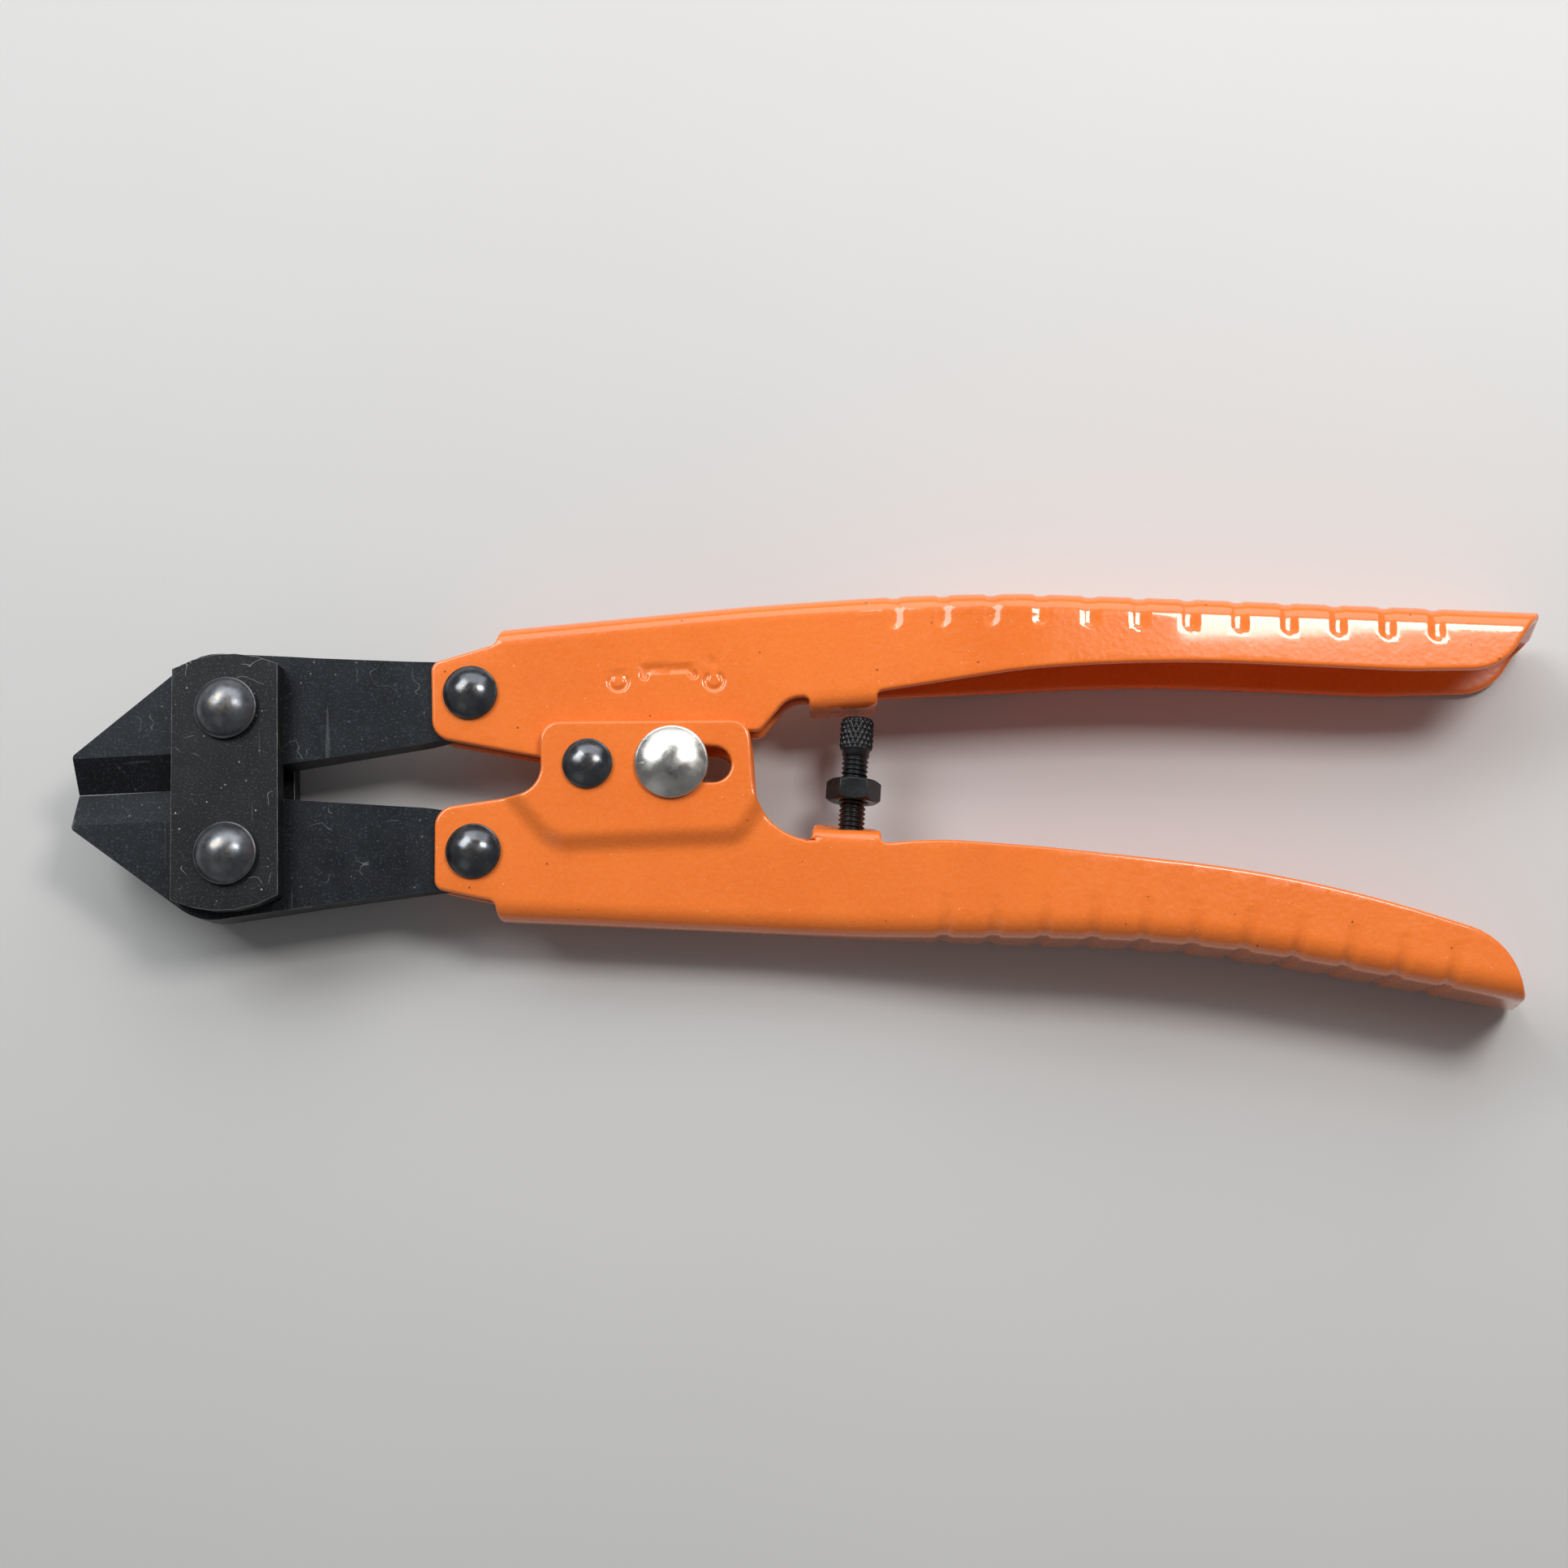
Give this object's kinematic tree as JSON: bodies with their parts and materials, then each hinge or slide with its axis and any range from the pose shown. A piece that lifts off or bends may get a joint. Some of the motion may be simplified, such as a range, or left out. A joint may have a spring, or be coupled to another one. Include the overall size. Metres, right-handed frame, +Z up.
{
  "type": "bolt cutter",
  "caption": "Small compound bolt cutter: pressed channel handles on a centre rivet work two bevelled jaws held by link plates, with a slide lock and a stop screw.",
  "frame": {"origin": "middle of the tool's length and width at the surface that it lies on, jaws closed", "axes": "+X along the tool towards the grips, +Y towards the upper handle, +Z up through the thickness, out of the face with the lock knob"},
  "size_m": [0.2176, 0.065, 0.019],
  "materials": {
    "orange_paint": "glossy orange powder coat with a fine orange peel",
    "jaw_black": "matt black oxide, fine grain",
    "plate_black": "matt black oxide with bright worn edges",
    "jaw_rivet_black": "satin black, burnished by the rivet set",
    "rivet_gloss_black": "glossy black",
    "bright_steel": "bright nickel plate with fine handling scratches",
    "screw_black": "dark phosphate with bright knurl tips"
  },
  "bodies": {
    "handle_lower": {"handle_lower": "orange_paint", "tail_rivet_lower": "rivet_gloss_black", "centre_rivet": "rivet_gloss_black"},
    "handle_upper": {"handle_upper": "orange_paint", "tail_rivet_upper": "rivet_gloss_black"},
    "jaw_lower": {"jaw_lower": "jaw_black"},
    "jaw_upper": {"jaw_upper": "jaw_black"},
    "head": {"link_plate_front": "plate_black", "link_plate_rear": "plate_black", "jaw_rivet_upper": "jaw_rivet_black", "jaw_rivet_lower": "jaw_rivet_black"},
    "lock": {"lock_knob": "bright_steel", "lock_pin": "bright_steel", "lock_back_cap": "bright_steel"},
    "stop_screw": {"stop_screw": "screw_black"},
    "stop_nut": {"stop_nut": "screw_black"}
  },
  "joints": [
    {"name": "handle_pivot", "type": "hinge", "parent": "handle_lower", "child": "handle_upper", "pos_m": [-0.03293, 0.00911, 0.0095], "axis": [0, 0, 1], "range_deg": [0, 26]},
    {"name": "jaw_lower_pivot", "type": "hinge", "parent": "handle_lower", "child": "jaw_lower", "pos_m": [-0.05003, -0.00264, 0.0095], "axis": [0, 0, 1], "range_deg": [0, 20]},
    {"name": "jaw_upper_pivot", "type": "hinge", "parent": "handle_upper", "child": "jaw_upper", "pos_m": [-0.05003, 0.02086, 0.0095], "axis": [0, 0, 1], "range_deg": [-20, 0]},
    {"name": "head_pivot", "type": "hinge", "parent": "jaw_lower", "child": "head", "pos_m": [-0.08533, -0.00159, 0.0095], "axis": [0, 0, 1], "range_deg": [-7, 0]},
    {"name": "lock_slide", "type": "slide", "parent": "handle_lower", "child": "lock", "axis": [0.9954, -0.0958, 0], "range_m": [0, 0.006]},
    {"name": "stop_screw_travel", "type": "slide", "parent": "handle_lower", "child": "stop_screw", "axis": [0.1132, 0.9936, 0], "range_m": [-0.002, 0.0009]},
    {"name": "stop_nut_spin", "type": "hinge", "parent": "stop_screw", "child": "stop_nut", "pos_m": [0.0054, 0.00382, 0.0095], "axis": [0.1132, 0.9936, 0], "continuous": true}
  ],
  "couplings": [
    {"joint": "jaw_lower_pivot", "follows": "handle_pivot", "ratio": 0.7576},
    {"joint": "jaw_upper_pivot", "follows": "handle_pivot", "ratio": -0.755},
    {"joint": "head_pivot", "follows": "handle_pivot", "ratio": -0.2574}
  ]
}
